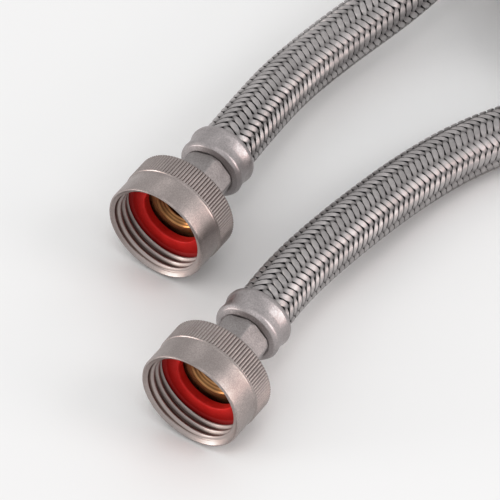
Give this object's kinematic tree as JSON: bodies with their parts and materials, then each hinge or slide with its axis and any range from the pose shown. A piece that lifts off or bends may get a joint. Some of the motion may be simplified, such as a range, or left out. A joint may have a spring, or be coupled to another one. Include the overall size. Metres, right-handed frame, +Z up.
{
  "type": "braided supply line",
  "caption": "Flexible water supply hose with a braided steel cover and, on both ends, a knurled swivel hose-thread nut with a sealing washer; the slack is put away in a tied coil.",
  "frame": {"origin": "on the floor, under the middle of the two end fittings", "axes": "+X along both nut axes, away from the mouths; +Y from end a to end b; +Z up"},
  "size_m": [0.3297, 0.1828, 0.0338],
  "materials": {
    "nut_nickel": "satin nickel plate with a knurled band",
    "washer_rubber": "matte red rubber",
    "stem_brass": "turned brass with fine tool marks",
    "collar_plated": "plated, flats slightly brushed",
    "ferrule_steel": "smooth rolled steel, semi-bright",
    "hose_rubber": "matte black inner tube",
    "braid": "woven flat bundles of bright drawn wire",
    "tie_nylon": "matte black nylon strap"
  },
  "bodies": {
    "hose": {"stem_a": "stem_brass", "hex_collar_a": "collar_plated", "ferrule_a": "ferrule_steel", "inner_tube_end_a": "hose_rubber", "stem_b": "stem_brass", "hex_collar_b": "collar_plated", "ferrule_b": "ferrule_steel", "inner_tube_end_b": "hose_rubber", "hose_lead_a": "hose_rubber", "hose_coil": "hose_rubber", "hose_lead_b": "hose_rubber", "coil_tie_1": "tie_nylon", "coil_tie_2": "tie_nylon"},
    "nut_a": {"coupling_nut_a": "nut_nickel", "sealing_washer_a": "washer_rubber"},
    "nut_b": {"coupling_nut_b": "nut_nickel", "sealing_washer_b": "washer_rubber"}
  },
  "joints": [
    {"name": "nut_a_swivel", "type": "hinge", "parent": "hose", "child": "nut_a", "pos_m": [-0.02765, -0.02004, 0.0151], "axis": [1, 0, 0], "continuous": true},
    {"name": "nut_b_swivel", "type": "hinge", "parent": "hose", "child": "nut_b", "pos_m": [0.016, 0.02004, 0.0151], "axis": [1, 0, 0], "continuous": true}
  ]
}
